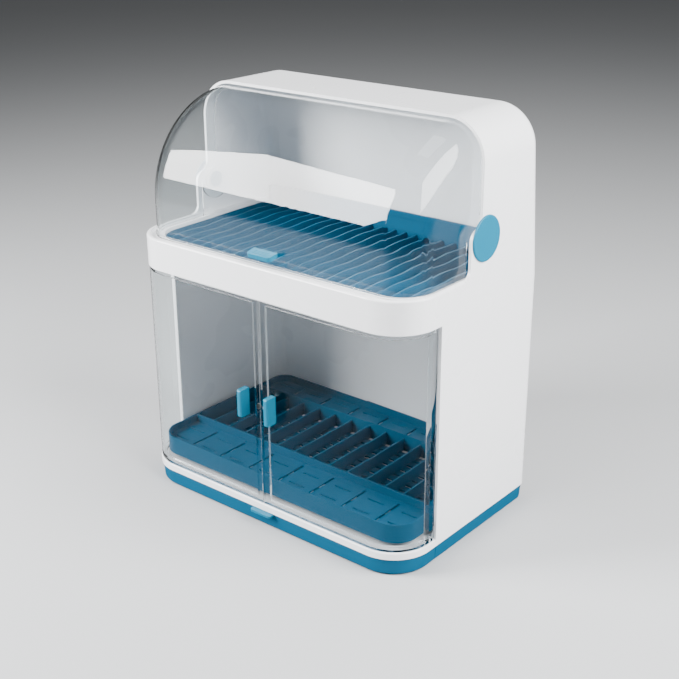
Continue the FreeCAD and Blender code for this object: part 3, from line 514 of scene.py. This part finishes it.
def floor_material(colour):
    """Pale matt floor with a faint cloudy tone."""
    material, nodes, links, shader = new_material("studio_floor")
    shader.inputs["Roughness"].default_value = 0.7
    cloud = nodes.new("ShaderNodeTexNoise")
    place = nodes.new("ShaderNodeTexCoord")
    links.new(place.outputs["Object"], cloud.inputs["Vector"])
    cloud.inputs["Scale"].default_value = 1.5
    darker = [channel * FLOOR_TONE for channel in colour[:3]]
    add_tones(nodes, links, cloud.outputs["Fac"], darker, colour, shader)
    return material


def area_light(name, place, aim, width, height, power, mirrored):
    """A flat rectangular lamp, aimed at a point."""
    data = bpy.data.lights.new(name, "AREA")
    data.shape = "RECTANGLE"
    data.size = width
    data.size_y = height
    data.energy = power
    lamp = bpy.data.objects.new(name, data)
    bpy.context.scene.collection.objects.link(lamp)
    lamp.location = place
    lamp.rotation_euler = (Vector(aim) - Vector(place)).to_track_quat("-Z", "Y").to_euler()
    lamp.visible_glossy = mirrored


def place_camera():
    """Stand the camera at the photograph's viewing angle, the rack a little above and left of the middle."""
    view = studio_sizes()
    low, high = [Vector(corner) for corner in FRAME_BOX]
    # The body's own middle lies behind the middle of the whole box, which takes in the door grips.
    body_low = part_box("lower_housing")[0]
    middle = Vector((0.0, (body_low.y + high.y) / 2, (low.z + high.z) / 2))
    back = Vector((math.sin(view.azimuth) * math.cos(view.elevation),
                   -math.cos(view.azimuth) * math.cos(view.elevation), math.sin(view.elevation)))
    right = Vector((0, 0, 1)).cross(back).normalized()
    up = back.cross(right)
    turned_right = right * math.cos(view.roll) + up * math.sin(view.roll)
    turned_up = up * math.cos(view.roll) - right * math.sin(view.roll)
    place = middle + back * view.distance + turned_right * view.aside - turned_up * view.above
    data = bpy.data.cameras.new("camera")
    data.lens = view.lens
    data.sensor_width = SENSOR_WIDTH
    camera = bpy.data.objects.new("camera", data)
    bpy.context.scene.collection.objects.link(camera)
    columns = Matrix((turned_right, turned_up, back)).transposed()
    camera.matrix_world = Matrix.Translation(place) @ columns.to_4x4()
    bpy.context.scene.camera = camera


class DISHRACK_OT_stage(bpy.types.Operator):
    """Add the floor, the studio lights and the camera"""
    bl_idname = "dishrack.stage"
    bl_label = "Stage"

    def execute(self, context):
        view = studio_sizes()
        deselect_all()
        bpy.ops.mesh.primitive_plane_add(size=FLOOR_WIDTH, location=(0, 0, 0))
        floor = bpy.context.object
        floor.name = "floor"
        dress(floor, floor_material(view.backdrop))
        # Glossy surfaces don't mirror the floor or the room, so what stands behind the doors keeps its
        # colour.
        floor.visible_glossy = False
        for name, place, aim, width, height, power, mirrored in LIGHTS:
            area_light(name, place, aim, width, height, getattr(view, power), mirrored)
        world = bpy.data.worlds.new("studio")
        world.use_nodes = True
        world.node_tree.nodes["Background"].inputs["Color"].default_value = ROOM_COLOUR
        world.node_tree.nodes["Background"].inputs["Strength"].default_value = view.room_light
        bpy.context.scene.world = world
        world.cycles_visibility.glossy = False
        place_camera()
        return {"FINISHED"}


class DISHRACK_PT_panel(bpy.types.Panel):
    """Buttons that finish the rack piece by piece"""
    bl_idname = "DISHRACK_PT_panel"
    bl_label = "Dish rack"
    bl_space_type = "VIEW_3D"
    bl_region_type = "UI"
    bl_category = "Dish rack"

    def draw(self, context):
        for operator in PIECE_OPERATORS:
            self.layout.operator(operator.bl_idname)
        for group in (context.scene.dish_rack_finish, context.scene.dish_rack_studio):
            for name in group.bl_rna.properties.keys():
                if name not in ("rna_type", "name"):
                    self.layout.prop(group, name)


PIECE_OPERATORS = (
    DISHRACK_OT_casings,
    DISHRACK_OT_base,
    DISHRACK_OT_racks,
    DISHRACK_OT_lid,
    DISHRACK_OT_doors,
    DISHRACK_OT_stage,
)
CLASSES = (DishRackFinish, DishRackStudio) + PIECE_OPERATORS + (DISHRACK_PT_panel,)


def register():
    for item in CLASSES:
        bpy.utils.register_class(item)
    bpy.types.Scene.dish_rack_finish = bpy.props.PointerProperty(type=DishRackFinish)
    bpy.types.Scene.dish_rack_studio = bpy.props.PointerProperty(type=DishRackStudio)


def unregister():
    del bpy.types.Scene.dish_rack_studio
    del bpy.types.Scene.dish_rack_finish
    for item in reversed(CLASSES):
        bpy.utils.unregister_class(item)


def main():
    register()
    for operator in PIECE_OPERATORS:
        area, name = operator.bl_idname.split(".")
        getattr(getattr(bpy.ops, area), name)()


if __name__ == "__main__":
    main()
